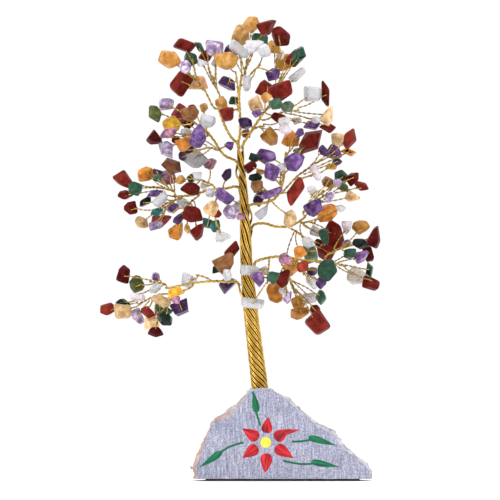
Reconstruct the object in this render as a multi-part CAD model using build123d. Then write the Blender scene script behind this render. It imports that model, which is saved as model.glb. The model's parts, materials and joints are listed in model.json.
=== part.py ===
from build123d import *
import math
import os

import numpy as np

# A tree of soft brass-coloured wire with tumbled stone chips, set in a painted stone base.
# Millimetres. +Z is up, the sawn front of the stone faces -Y, the origin is the centre of
# the pad's underside.

# Base stone
BASE_DEPTH = 42.0
SHOULDER_DEPTH = 7.0
BACK_SHOULDER_DEPTH = 12.0
PAD_THICKNESS = 1.0
PAD_INSET = 2.0
STONE_OUTLINE = [
    (-53.5, 0.0), (-55.5, 6.5), (-53.0, 14.0), (-47.5, 25.0), (-43.5, 35.0), (-35.0, 40.5),
    (-26.0, 48.0), (-19.0, 55.0), (-8.0, 55.0), (4.5, 49.0), (11.0, 43.5), (21.5, 34.5),
    (32.5, 29.0), (38.0, 20.0), (52.0, 9.5), (54.5, 5.0), (53.5, 0.0),
]

# How far each corner of the outline stands out at the sawn front, behind it where the stone is
# widest, before the back, and at the broken back
FRONT_BREAK = [0.97, 0.95, 0.95, 0.98, 0.98, 0.93, 0.96, 0.99, 0.99, 0.96, 0.95, 0.95, 0.94, 0.96,
               0.96, 0.97, 0.98]
WIDEST_BREAK = [1.0] * len(STONE_OUTLINE)
BEHIND_BREAK = [0.97, 0.99, 0.95, 0.99, 0.94, 0.97, 0.94, 0.97, 0.97, 0.99, 0.93, 0.97, 0.99, 0.94,
                0.97, 0.99, 0.97]
BACK_BREAK = [0.90, 0.88, 0.91, 0.85, 0.90, 0.92, 0.85, 0.83, 0.86, 0.91, 0.88, 0.84, 0.90, 0.84,
              0.90, 0.91, 0.90]

# Trunk: a rope of bundles, one for each bough, round a core
TRUNK_HEIGHTS = [34.0, 55.0, 96.0, 126.0, 168.0, 199.0]
TRUNK_X = [-13.5, -13.5, -18.5, -21.5, -23.0, -25.5]
STRAND_RADIUS = 1.1
STRAND_SIDES = 4
STRAND_GAP = 0.12
ROPE_PITCH = 52.0
ROPE_PHASE = 120.0
ROPE_STEP = 4.5
FOOT_FLARE = 0.8
LEAVING_LENGTH = 10.0
SOCKET_DEPTH = 21.0
SOCKET_FLOOR_GAP = 0.6
GLUE_WALL = 0.8
GLUE_GAP = 0.1
GLUE_BELOW_MOUTH = 1.4
GLUE_SIDES = 16
CORE_SIDES = 6
CORE_TOP = 172.0

# Boughs and branchlets
BOUGH_SIDES = 6
HINGE_GAP = 0.35
STUB = 2.0
WRAP_STEP = 75.0
WRAP_GAP = 1.6
BRANCHLET_RADIUS = 0.75
BRANCHLET_SIDES = 5
BRANCHLET_BOW = 0.06
WIRE_GAP = 0.2

# Chip wires: one folded wire for each chip
WIRE_RADIUS = 0.35
WIRE_SIDES = 3
FOLD_LIFT = 1.05
LEG_SPREAD = 0.42
STATION_START = 0.8
STATION_PITCH = 2.2
STATION_LIMIT = 0.9
LEAST_STEM = 10.0
LONG_CHIP_STEM = 0.25

# Chips
THICKNESS_SHARE = 0.75
LEAST_THICKNESS = 3.4
MOST_THICKNESS = 6.4
LEAST_WIDTH = 4.0
FACET_SCALE = 0.72
HOLE_CLEARANCE = 0.1
HOLE_EDGE = 0.2
TILT = 16.0
YAW_STEP = 2.4
PITCH_STEP = 1.7
PITCH_START = 1.0
MOST_DIP = 0.9

# Room for the chips in depth
DEPTH_SPREAD = 10.0
DEPTH_TURN = 0.618
DEPTH_STEP = 2.0
DEPTH_STEPS = 24
CHIP_GAP = 0.6
BEND_STEPS = 5
NEAR = 45.0
BALL_PITCH = 1.5
ROUND_LIMIT = 0.15
ROUND_WIDTH = 0.8
ROUND_FILL = 0.95
STEM_PLACES = [0.12, 0.3, 0.5, 0.7, 0.85]
STEM_RADIUS = 0.55
STEM_OPENING = 0.9

# Outlines of tumbled chips, as shares of half the length and half the width
PEBBLE = [(1.0, -0.1), (0.4, 0.95), (-0.75, 0.8), (-1.0, -0.4), (0.1, -1.0)]
WEDGE = [(-0.95, -0.8), (-0.2, -1.0), (1.0, -0.15), (0.75, 0.35), (-0.8, 1.0)]
BLOCK = [(-0.9, -1.0), (0.85, -0.9), (1.0, 0.75), (-1.0, 1.0)]
KITE = [(-1.0, -0.2), (0.0, -1.0), (1.0, 0.0), (0.2, 1.0), (-0.8, 0.6)]
SPLINTER = [(-1.0, -0.4), (0.45, -1.0), (1.0, 0.35), (-0.35, 1.0)]
SPLINTER_RATIO = 1.8
OUTLINES = [PEBBLE, WEDGE, KITE, BLOCK]

RED = "red_jasper"
GOLD = "yellow_aventurine"
GREEN = "green_aventurine"
VIOLET = "amethyst"
CLEAR = "clear_quartz"
STONES = [RED, GOLD, GREEN, VIOLET, CLEAR]

# Each bough: the height where it leaves the rope, how far it bends (degrees about +Y),
# its knots (x, y, z), and its sprays. Each spray: the run of the bough that carries it and the
# place along that run, the branchlet's tip, and its chips as seen from the front
# (stone, x, z, length, width, lean of the length from level).
BOUGHS = {
    "mid_right": {
        "leaves": 162.0,
        "bends": (-4.0, 4.0),
        "knots": [(-12.0, -2.0, 166.0), (-4.5, -4.0, 169.0), (0.0, -5.0, 178.0), (1.5, -5.0, 189.0)],
        "sprays": [
            (3, 0.95, (2.0, -8.0, 197.0), [
                (GOLD, 6, 205, 9.5, 8.5, 10), (RED, 17, 203, 14, 10, -45),
                (VIOLET, 10, 208, 5.5, 4, -60), (GREEN, 10, 197, 8, 4, -15),
                (VIOLET, -9, 194, 9.5, 7.5, 20)]),
            (2, 0.9, (-1.0, -14.0, 185.0), [
                (VIOLET, -7, 184, 11.5, 8.5, 60), (CLEAR, -1, 187, 5, 3.6, 0),
                (GOLD, -13, 185, 6.5, 4, 0), (VIOLET, 7, 190, 11, 9, -15),
                (RED, -19, 188, 7, 5, -35), (GREEN, -16, 193, 6, 4, 15)]),
            (1, 0.6, (-6.0, -14.0, 173.0), [
                (GREEN, -16, 181, 8, 4.5, 0), (GOLD, -15, 176, 7.5, 6.5, 0),
                (VIOLET, -14, 170, 8.5, 5.5, 10), (VIOLET, -6, 172, 15, 4.5, 27),
                (RED, 7, 173, 17, 6.5, -62), (GOLD, 5, 157, 11, 8, -80),
                (CLEAR, -12, 161, 9, 5.5, -60)]),
            (2, 0.4, (20.0, 2.0, 190.0), [
                (GOLD, 34, 205, 8, 7, 0), (RED, 40, 205, 10.5, 6.5, -70),
                (VIOLET, 24, 197, 5.5, 4, 30), (VIOLET, 32, 196, 8, 6.5, 40),
                (GOLD, 40, 197, 9, 4, 12), (GOLD, 30, 188, 8, 3.6, 3),
                (VIOLET, 33, 191, 5.5, 4, 0), (CLEAR, 20, 184, 9, 4, 65)]),
        ],
    },
    "mid_left": {
        "leaves": 188.0,
        "bends": (-4.0, 4.0),
        "knots": [(-35.0, 1.0, 195.0), (-42.0, -3.0, 205.0), (-49.0, -4.0, 213.0)],
        "sprays": [
            (2, 0.95, (-58.0, 2.0, 217.0), [
                (VIOLET, -70, 226, 8, 6.5, 0), (GREEN, -76, 220, 9.5, 6.5, 65),
                (RED, -62, 221, 11.5, 7, -65), (RED, -54, 223, 5.5, 4, 10),
                (GOLD, -47, 224, 7, 3.6, 80), (GOLD, -55, 219, 9, 7, -45),
                (GOLD, -67, 213, 9.5, 8.5, 50)]),
            (2, 0.3, (-56.0, -8.0, 207.0), [
                (RED, -57, 214, 8, 6, 20), (CLEAR, -45, 215, 8, 6.5, 0),
                (VIOLET, -68, 208, 10, 5, -12), (RED, -76, 205, 8, 7.5, 30),
                (VIOLET, -69, 199, 9, 7.5, 50), (CLEAR, -58, 209, 6, 3.6, 0),
                (RED, -64, 204, 4.5, 3.6, 0)]),
            (1, 0.4, (-47.0, -12.0, 199.0), [
                (GOLD, -57, 203, 12, 7, -40), (VIOLET, -50, 205, 14, 8, -70),
                (VIOLET, -57, 198, 7, 5, -30), (CLEAR, -54, 193, 12, 10, 30),
                (VIOLET, -60, 194, 6, 4, 60), (VIOLET, -32, 201, 4.5, 3.6, -40)]),
        ],
    },
    "upper_right": {
        "leaves": 198.0,
        "bends": (-4.0, 4.0),
        "knots": [(-20.0, 0.0, 207.0), (-15.0, 2.0, 215.0), (-10.0, 3.0, 222.0), (-3.0, 4.0, 229.0)],
        "sprays": [
            (3, 0.95, (0.0, 8.0, 244.0), [
                (RED, -1, 267, 13, 9.5, 50), (GOLD, -5, 260, 8.5, 6, 20),
                (GOLD, 2, 252, 10, 8, 15), (GREEN, 10, 255, 10, 7, -70),
                (RED, 7, 254, 10, 6.5, -55), (CLEAR, -1, 256, 5.5, 4.5, 80),
                (CLEAR, 10, 244, 12, 4.5, -48)]),
            (2, 0.8, (-6.0, -9.0, 226.0), [
                (RED, -10, 235, 9, 8, 20), (RED, -1, 233, 13.5, 9, -35),
                (GREEN, -4, 225, 9, 6.5, -20), (GREEN, 3, 224, 7, 6, -20),
                (RED, -2, 217, 9.5, 6, 25), (GOLD, -16, 225, 10, 8, 70),
                (GOLD, -10, 229, 5.5, 5.5, 0), (VIOLET, -15, 220, 5.5, 3.6, -10)]),
            (1, 0.5, (-11.0, -8.0, 212.0), [
                (VIOLET, -22, 214, 8, 6, 25), (RED, -22, 208, 5, 4, 0),
                (GOLD, -7, 205, 11, 8, 70), (CLEAR, 1, 215, 6, 5, 0),
                (CLEAR, 1, 210, 6.5, 5.5, 0)]),
            (2, 0.3, (10.0, 12.0, 222.0), [
                (CLEAR, 18, 232, 9, 8, 0), (RED, 26, 232, 14.5, 5, 85),
                (GOLD, 27, 219, 10, 6.5, -65), (RED, 28, 212, 9.5, 5, 8),
                (VIOLET, 18, 213, 9.5, 5, -5), (CLEAR, 9, 216, 5.5, 4, 0),
                (CLEAR, 20, 216, 5.5, 3.6, 0)]),
        ],
    },
    "low_right": {
        "leaves": 128.0,
        "bends": (-4.0, 4.0),
        "knots": [(-10.0, -3.0, 133.0), (0.0, -4.0, 134.0), (12.0, -2.0, 132.0), (26.0, 0.0, 131.0)],
        "sprays": [
            (3, 0.95, (40.0, 6.0, 141.0), [
                (CLEAR, 39, 152, 7, 5, 80), (GOLD, 48, 152, 8.5, 7.5, 0),
                (RED, 55, 146, 12.5, 8, -75), (RED, 52, 136, 9.5, 5.5, 70),
                (GREEN, 46, 142, 8.5, 6, 10), (VIOLET, 39, 142, 5.5, 5, 0)]),
            (3, 0.6, (38.0, -4.0, 128.0), [
                (GREEN, 40, 136, 6, 5.5, 0), (VIOLET, 47, 134, 9.5, 7, -35),
                (GREEN, 52, 126, 8.5, 3.6, 88), (CLEAR, 45, 122, 11, 10, 0),
                (RED, 54, 118, 10, 7, 15)]),
            (2, 0.6, (13.0, -10.0, 123.0), [
                (RED, 1, 122, 10.5, 8, -50), (GOLD, 6, 128, 10, 8.5, 30),
                (RED, 12, 128, 10, 6.5, -70), (VIOLET, 18, 125, 8, 5.5, -15),
                (GREEN, 26, 126, 12, 9.5, -75), (VIOLET, 23, 119, 9, 6, -60),
                (CLEAR, 18, 118, 8, 5.5, 85)]),
            (1, 0.8, (8.0, -12.0, 112.0), [
                (GOLD, -5, 112, 11, 7.5, 80), (CLEAR, 1, 113, 5.5, 4.5, 0),
                (VIOLET, 3, 110, 7.5, 4.5, -60), (GOLD, 10, 106, 9, 6.5, -20),
                (GOLD, 11, 100, 10, 6, -10), (CLEAR, 17, 109, 7, 5, 0),
                (GREEN, 23, 110, 8, 6, 90), (RED, 20, 102, 6.5, 5.5, 0),
                (RED, 21, 94, 12, 11, 50)]),
            (1, 0.2, (-9.0, -15.0, 118.0), [
                (VIOLET, -14, 121, 9, 6.5, 55), (GREEN, -6, 122, 7, 6, 0),
                (CLEAR, -12, 125, 6, 4, 0), (CLEAR, -19, 126, 12, 5.5, 5),
                (CLEAR, -18, 106, 12.5, 5.5, 5)]),
        ],
    },
    "top": {
        "leaves": 198.0,
        "bends": (-4.0, 4.0),
        "knots": [(-25.5, -1.0, 208.0), (-25.5, 0.0, 219.0), (-26.0, 0.0, 231.0), (-24.5, 0.0, 243.0)],
        "sprays": [
            (3, 0.95, (-20.0, -4.0, 252.0), [
                (GOLD, -25, 268, 10, 9, 70), (GOLD, -18, 274, 9, 8, 90),
                (RED, -10, 272, 10, 8, -35), (GREEN, -14, 265, 8.5, 6.5, 0),
                (CLEAR, -26, 258, 12, 5.5, 35), (CLEAR, -17, 260, 10, 7, -30),
                (VIOLET, -31, 258, 7, 4, 40)]),
            (3, 0.5, (-13.0, -11.0, 249.0), [
                (CLEAR, -11, 257, 8, 6, 70), (VIOLET, -5, 244, 8, 6, -35),
                (CLEAR, -21, 238, 9, 4, 90)]),
            (2, 0.8, (-28.0, 9.0, 245.0), [
                (GOLD, -33, 251, 11.5, 9, -50), (VIOLET, -33, 239, 10, 6.5, -10)]),
            (2, 0.2, (-29.0, 10.0, 222.0), [
                (GREEN, -29, 228, 5, 4.5, 0), (GOLD, -36, 225, 8.5, 6, 75),
                (RED, -33, 219, 10, 7.5, 65)]),
        ],
    },
    "upper_left": {
        "leaves": 198.0,
        "bends": (-4.0, 4.0),
        "knots": [(-31.0, 4.0, 206.0), (-36.0, 8.0, 216.0), (-40.0, 10.0, 228.0)],
        "sprays": [
            (2, 0.95, (-42.0, 14.0, 243.0), [
                (VIOLET, -41, 259, 9.5, 8.5, 0), (RED, -46, 255, 9, 5.5, -35),
                (CLEAR, -48, 250, 5.5, 4, 0), (CLEAR, -40, 251, 4.5, 3.6, 0),
                (GREEN, -50, 260, 8.5, 4, 52)]),
            (2, 0.6, (-54.0, 8.0, 243.0), [
                (RED, -59, 261, 14, 7.5, 5), (GOLD, -67, 252, 12, 9.5, 10),
                (GREEN, -55, 253, 7.5, 7, 0), (VIOLET, -58, 247, 6.5, 6.5, 0),
                (RED, -61, 239, 14, 10, -40), (GOLD, -51, 239, 11, 9, 15)]),
        ],
    },
    "low_left": {
        "leaves": 116.0,
        "bends": (-8.0, 8.0),
        "knots": [(-34.0, 0.0, 119.0), (-46.0, 0.0, 119.0), (-58.0, 0.0, 117.0), (-70.0, 0.0, 115.0)],
        "sprays": [
            (3, 0.95, (-80.0, 5.0, 119.0), [
                (RED, -96, 123, 9, 6.5, -75), (GREEN, -88, 117, 9, 7, 50),
                (VIOLET, -76, 122, 12, 5, 78), (CLEAR, -76, 115, 6, 4, 0),
                (CLEAR, -87, 110, 8, 3.6, 5)]),
            (2, 0.7, (-69.0, -8.0, 107.0), [
                (GOLD, -73, 108, 13, 5.5, 10), (GOLD, -64, 113, 8, 5, 15),
                (VIOLET, -64, 109, 6, 4, 0), (VIOLET, -61, 103, 9, 7, -10),
                (GREEN, -72, 102, 11, 5.5, 0), (GREEN, -70, 97, 8.5, 7, 40)]),
            (3, 0.5, (-87.0, 0.0, 105.0), [
                (RED, -81, 101, 9.5, 5, 38), (VIOLET, -87, 98, 9, 5.5, 55),
                (VIOLET, -76, 98, 4.5, 4, 0), (GOLD, -78, 94, 8, 7.5, 0),
                (RED, -76, 89, 8, 5.5, 10), (GREEN, -96, 106, 9.5, 5, 20),
                (RED, -105, 102, 11, 6.5, -5), (GOLD, -95, 101, 9, 7.5, 0)]),
            (1, 0.8, (-52.0, 6.0, 123.0), [
                (CLEAR, -57, 119, 11, 8, 60)]),
            (0, 0.8, (-36.0, -9.0, 124.0), [
                (RED, -31, 137, 13, 6, -60), (GOLD, -34, 130, 12, 8, -35),
                (GREEN, -39, 127, 6.5, 4, -10), (GREEN, -34, 125, 6, 4, -35),
                (CLEAR, -33, 123, 6, 4.5, 0), (VIOLET, -33, 118, 11, 7, -35)]),
        ],
    },
    "left": {
        "leaves": 173.0,
        "bends": (-4.0, 4.0),
        "knots": [(-34.0, 0.0, 175.0), (-44.0, 2.0, 174.0), (-54.0, 3.0, 171.0), (-65.0, 4.0, 170.0)],
        "sprays": [
            (3, 0.95, (-78.0, 7.0, 176.0), [
                (GOLD, -82, 184, 12, 8, -10), (RED, -94, 179, 11.5, 8, 45),
                (RED, -95, 171, 8, 5.5, 0), (GREEN, -88, 175, 6.5, 6, 0),
                (GREEN, -75, 181, 6, 4, -20), (VIOLET, -75, 185, 5.5, 4, 0),
                (VIOLET, -69, 182, 10, 8, -35), (RED, -67, 188, 10.5, 7, 25)]),
            (3, 0.6, (-75.0, -6.0, 162.0), [
                (VIOLET, -76, 172, 11, 5, -12), (GREEN, -83, 167, 9, 4.5, -42),
                (CLEAR, -73, 168, 9.5, 5, -15), (RED, -91, 163, 7.5, 6.5, 60),
                (GOLD, -85, 154, 9.5, 6.5, 35), (VIOLET, -76, 153, 8, 4.5, -10),
                (RED, -73, 155, 10.5, 7, -30), (GREEN, -75, 161, 7, 4, -20)]),
            (2, 0.6, (-60.0, -12.0, 160.0), [
                (VIOLET, -66, 163, 9.5, 6.5, -65), (VIOLET, -62, 157, 7.5, 4.5, -60),
                (GOLD, -63, 149, 11, 8, -65), (GOLD, -57, 151, 6.5, 4, 80),
                (CLEAR, -60, 166, 8, 6, 60), (RED, -54, 160, 11.5, 9, 15),
                (RED, -51, 150, 9.5, 7, -50)]),
            (1, 0.7, (-53.0, 11.0, 181.0), [
                (GOLD, -61, 180, 6, 4.5, -30), (RED, -55, 175, 10, 6.5, -5),
                (GREEN, -55, 181, 5, 3.6, 0), (CLEAR, -51, 182, 4.5, 3.6, 0),
                (VIOLET, -43, 190, 8.5, 6, -40), (CLEAR, -47, 177, 5, 3.6, 0)]),
            (1, 0.2, (-38.0, -12.0, 168.0), [
                (VIOLET, -33, 183, 9, 5, -60), (VIOLET, -35, 170, 11.5, 7.5, 15),
                (CLEAR, -43, 172, 8.5, 5, 30), (GOLD, -42, 163, 11, 9.5, -50),
                (VIOLET, -31, 161, 9, 8, 0), (CLEAR, -25, 165, 8.5, 6, -45),
                (VIOLET, -25, 158, 5, 4, 0)]),
            (1, 0.5, (-42.0, 4.0, 158.0), [
                (GREEN, -45, 154, 5.5, 5, 0), (GREEN, -40, 152, 8, 5.5, -60),
                (RED, -39, 160, 4.5, 3.6, 0), (CLEAR, -36, 146, 8, 6.5, 0)]),
        ],
    },
    "right": {
        "leaves": 150.0,
        "bends": (-4.0, 4.0),
        "knots": [(-12.0, 4.0, 154.0), (-3.0, 6.0, 152.0), (6.0, 7.0, 153.0), (14.0, 8.0, 158.0)],
        "sprays": [
            (3, 0.95, (25.0, 12.0, 174.0), [
                (GREEN, 36, 182, 7, 6.5, 0), (GREEN, 36, 176, 9, 5, 40),
                (GOLD, 28, 179, 6, 5, 0), (VIOLET, 33, 178, 4.5, 4, 0),
                (RED, 43, 182, 7.5, 6, -60), (RED, 48, 176, 9, 5, 25),
                (GOLD, 43, 170, 8.5, 5.5, 15), (VIOLET, 28, 170, 7.5, 4, -45),
                (CLEAR, 19, 173, 9, 4, -12)]),
            (3, 0.5, (20.0, 2.0, 154.0), [
                (VIOLET, 18, 163, 9, 8, -30), (GOLD, 28, 161, 14, 8.5, -48),
                (CLEAR, 35, 163, 5.5, 4, 0), (CLEAR, 20, 149, 6.5, 6, 0),
                (CLEAR, 15, 143, 8, 5, 30), (GREEN, 25, 146, 8.5, 5, 75),
                (RED, 32, 146, 14, 9, 60)]),
            (2, 0.7, (14.0, -4.0, 144.0), [
                (RED, 22, 142, 7.5, 5, -30), (RED, 27, 137, 9.5, 8, -10),
                (GREEN, 17, 136, 10, 9.5, 20), (GOLD, 10, 137, 7, 6.5, 0),
                (VIOLET, 2, 133, 8, 5.5, 45)]),
        ],
    },
}

# The order of the bundles round the rope
NAMES = ["mid_right", "mid_left", "upper_left", "low_right", "top", "upper_right", "low_left",
         "left", "right"]


def unit(vector):
    """Give a vector the length one."""
    return vector / np.linalg.norm(vector)


def flat_face(points, holes=()):
    """Make a flat face from corner points, with any holes given the same way."""
    outer = Wire.make_polygon([Vector(*point) for point in points], close=True)
    inner = [Wire.make_polygon([Vector(*point) for point in hole], close=True) for hole in holes]
    return Face(outer, inner)


def joined_rings(rings):
    """Make the flat side faces between rings that have as many corners each."""
    faces = []
    for lower, upper in zip(rings, rings[1:]):
        count = len(lower)
        for i in range(count):
            j = (i + 1) % count
            faces.append(flat_face([lower[i], lower[j], upper[j], upper[i]]))
    return faces


def regular_ring(centre, across, beside, radius, sides):
    """Place the corners of a regular polygon round a centre."""
    turns = 2 * np.pi * np.arange(sides) / sides
    return centre + radius * (np.outer(np.cos(turns), across) + np.outer(np.sin(turns), beside))


def wire_tube(points, radius, sides, across=None):
    """Make a wire of a few flat sides along straight runs with mitred bends."""
    points = np.array(points, float)
    runs = [unit(b - a) for a, b in zip(points, points[1:])]
    if across is None:
        least = np.eye(3)[np.argmin(np.abs(runs[0]))]
        across = unit(np.cross(runs[0], least))
    ring = regular_ring(points[0], across, np.cross(runs[0], across), radius, sides)
    rings = [ring]
    for i, run in enumerate(runs):
        mitre = unit(run + runs[min(i + 1, len(runs) - 1)])
        reach = (points[i + 1] - ring) @ mitre / (run @ mitre)
        ring = ring + np.outer(reach, run)
        rings.append(ring)
    faces = [flat_face(rings[0]), flat_face(rings[-1])] + joined_rings(rings)
    return Solid(Shell(faces))


# Base stone, with the socket drilled for the trunk
def stone_section(y, breaks):
    """The corners of the stone's outline at one depth, broken back by shares."""
    return [(x * share, y, PAD_THICKNESS + z * share) for (x, z), share in zip(STONE_OUTLINE, breaks)]


def socket_floor():
    """The height of the floor of the drilled socket."""
    return PAD_THICKNESS + max(z for x, z in STONE_OUTLINE) - SOCKET_DEPTH


def base_stone():
    """The block between its sawn front and broken back, less the socket."""
    front = -BASE_DEPTH / 2
    back = BASE_DEPTH / 2
    sections = [
        stone_section(front, FRONT_BREAK),
        stone_section(front + SHOULDER_DEPTH, WIDEST_BREAK),
        stone_section(back - BACK_SHOULDER_DEPTH, BEHIND_BREAK),
        stone_section(back, BACK_BREAK),
    ]
    faces = [flat_face(sections[0]), flat_face(sections[-1])]
    for lower, upper in zip(sections, sections[1:]):
        for i in range(len(lower)):
            j = (i + 1) % len(lower)
            faces.append(flat_face([lower[i], lower[j], upper[j]]))
            faces.append(flat_face([lower[i], upper[j], upper[i]]))
    block = Solid(Shell(faces))
    socket = Cylinder(socket_radius(), 2 * SOCKET_DEPTH, align=(Align.CENTER, Align.CENTER, Align.MIN))
    return block - Pos(TRUNK_X[0], 0, socket_floor()) * socket


def felt_pad():
    """The pad stays inside the narrowest section of the stone."""
    left = STONE_OUTLINE[0][0] * BACK_BREAK[0] + PAD_INSET
    right = STONE_OUTLINE[-1][0] * BACK_BREAK[-1] - PAD_INSET
    width = right - left
    depth = BASE_DEPTH - 2 * PAD_INSET
    pad = Box(width, depth, PAD_THICKNESS, align=(Align.CENTER, Align.CENTER, Align.MIN))
    return Pos((left + right) / 2, 0, 0) * pad


# Trunk rope: the bundles lie in a ring, and one climbs out of it where its bough leaves
def lay_width():
    """Half the room that a slanting bundle takes in the ring."""
    ring = STRAND_RADIUS / math.sin(math.pi / len(NAMES))
    slant = math.atan(2 * math.pi * ring / ROPE_PITCH)
    return STRAND_RADIUS / math.cos(slant) + STRAND_GAP / 2


def last_leaving():
    """The height where the last bundles end, together."""
    return max(bough["leaves"] for bough in BOUGHS.values())


def shares(z):
    """How much of its place in the ring each bundle still takes at a height."""
    full = [1.0 if BOUGHS[name]["leaves"] == last_leaving() else
            min(1.0, max(0.0, (BOUGHS[name]["leaves"] - z) / LEAVING_LENGTH)) for name in NAMES]
    return np.array(full)


def ring_radius(z):
    """Where the middles of the bundles lie: a ring, down to two bundles side by side."""
    packed = lay_width() / math.sin(math.pi / max(2.0, shares(z).sum()))
    return packed + FOOT_FLARE * np.interp(z, TRUNK_HEIGHTS[1:3], [1.0, 0.0])


def socket_radius():
    """Room for the rope and the glue round it."""
    return ring_radius(TRUNK_HEIGHTS[0]) + STRAND_RADIUS + GLUE_WALL + 2 * GLUE_GAP


def trunk_centre(z):
    """The middle of the leaning trunk at a height."""
    return np.array([np.interp(z, TRUNK_HEIGHTS, TRUNK_X), 0.0, z])


def strand_point(index, z):
    """The middle of one bundle at a height: in the ring, or climbing out of it to leave."""
    share = shares(z)
    turned = 2 * np.pi * (share[:index].sum() + share[index] / 2) / share.sum()
    angle = turned + math.radians(ROPE_PHASE) - 2 * np.pi * (z - TRUNK_HEIGHTS[0]) / ROPE_PITCH
    climb = lay_width() * math.sqrt(4 - (1 + share[index]) ** 2)
    outward = np.array([math.cos(angle), math.sin(angle), 0.0])
    return trunk_centre(z) + (ring_radius(z) + climb) * outward


def strand_route(index):
    """One bundle from the socket's floor to the height where its bough leaves."""
    foot = socket_floor() + SOCKET_FLOOR_GAP
    leaves = BOUGHS[NAMES[index]]["leaves"]
    count = round((leaves - foot) / ROPE_STEP) + 1
    return [strand_point(index, z) for z in np.linspace(foot, leaves, count)]


def trunk_strands():
    return [wire_tube(strand_route(i), STRAND_RADIUS, STRAND_SIDES) for i in range(len(NAMES))]


def trunk_core():
    """A core that fills the rope, and narrows as bundles leave."""
    foot = socket_floor() + SOCKET_FLOOR_GAP
    leaving = [bough["leaves"] for bough in BOUGHS.values() if bough["leaves"] < CORE_TOP]
    starts = [height - LEAVING_LENGTH for height in leaving]
    bends = [height for height in TRUNK_HEIGHTS if foot < height < CORE_TOP]
    heights = sorted({foot, CORE_TOP, *leaving, *starts, *bends})
    sections = []
    for z in heights:
        inner = ring_radius(z) * math.cos(math.pi * ROPE_STEP / ROPE_PITCH)
        radius = inner - STRAND_RADIUS - STRAND_GAP
        ring = regular_ring(trunk_centre(z), np.array([1.0, 0, 0]), np.array([0, 1.0, 0]), radius, CORE_SIDES)
        sections.append(Wire.make_polygon([Vector(*point) for point in ring], close=True))
    return Solid.make_loft(sections, ruled=True)


def glue_plug():
    """A ring of set glue between the rope and the socket's wall."""
    rope = ring_radius(TRUNK_HEIGHTS[0]) + STRAND_RADIUS + GLUE_GAP
    height = SOCKET_DEPTH - SOCKET_FLOOR_GAP - GLUE_BELOW_MOUTH
    ring = RegularPolygon(rope + GLUE_WALL, GLUE_SIDES) - RegularPolygon(rope, GLUE_SIDES, major_radius=False)
    return Pos(TRUNK_X[0], 0, socket_floor() + SOCKET_FLOOR_GAP) * extrude(ring, height)


# Boughs and branchlets
def wrap(start, knot):
    """Knots that take a bough round the trunk, where it leaves on another side than it heads for."""
    side, goal = [point[:2] - trunk_centre(point[2])[:2] for point in (start, knot)]
    first = math.atan2(side[1], side[0])
    turn = (math.atan2(goal[1], goal[0]) - first + math.pi) % (2 * math.pi) - math.pi
    count = int(abs(turn) / math.radians(WRAP_STEP))
    points = []
    for k in range(1, count + 1):
        share = k / (count + 1)
        z = start[2] + share * (knot[2] - start[2])
        reach = ring_radius(z) + 2 * lay_width() + STRAND_RADIUS + WRAP_GAP
        angle = first + share * turn
        points.append(trunk_centre(z) + reach * np.array([math.cos(angle), math.sin(angle), 0.0]))
    return points


def bough_route(index):
    """The bough goes straight on from its bundle's end, and then through its knots."""
    bough = BOUGHS[NAMES[index]]
    route = strand_route(index)
    onward = unit(route[-1] - route[-2])
    root = route[-1] + HINGE_GAP * onward
    stub = root + STUB * onward
    return np.array([root, stub] + wrap(stub, np.array(bough["knots"][0])) + bough["knots"])


def tipped(run, outward):
    """The share of a wire's radius by which its end reaches back towards what carries it."""
    return math.sqrt(1 - (unit(run) @ outward) ** 2)


def branchlet_route(bough_points, run, place, tip):
    """A branchlet from beside its bough, bowed up a little, to its tip."""
    start, end = bough_points[run + 1], bough_points[run + 2]
    along = unit(end - start)
    foot = start + place * (end - start)
    away = np.array(tip) - foot
    aside = unit(away - (away @ along) * along)
    root = foot + (STRAND_RADIUS + BRANCHLET_RADIUS * tipped(away, aside) + WIRE_GAP) * aside
    length = np.linalg.norm(tip - root)
    middle = (root + tip) / 2 + np.array([0.0, 0.0, BRANCHLET_BOW * length])
    return np.array([root, middle, tip])


def station(route, back):
    """A point on a branchlet, measured back from its tip, and the wire's direction there."""
    first = np.linalg.norm(route[1] - route[0])
    last = np.linalg.norm(route[2] - route[1])
    if back <= last:
        along = unit(route[2] - route[1])
        return route[2] - back * along, along
    along = unit(route[1] - route[0])
    return route[1] - min(back - last, STATION_LIMIT * first) * along, along


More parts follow.
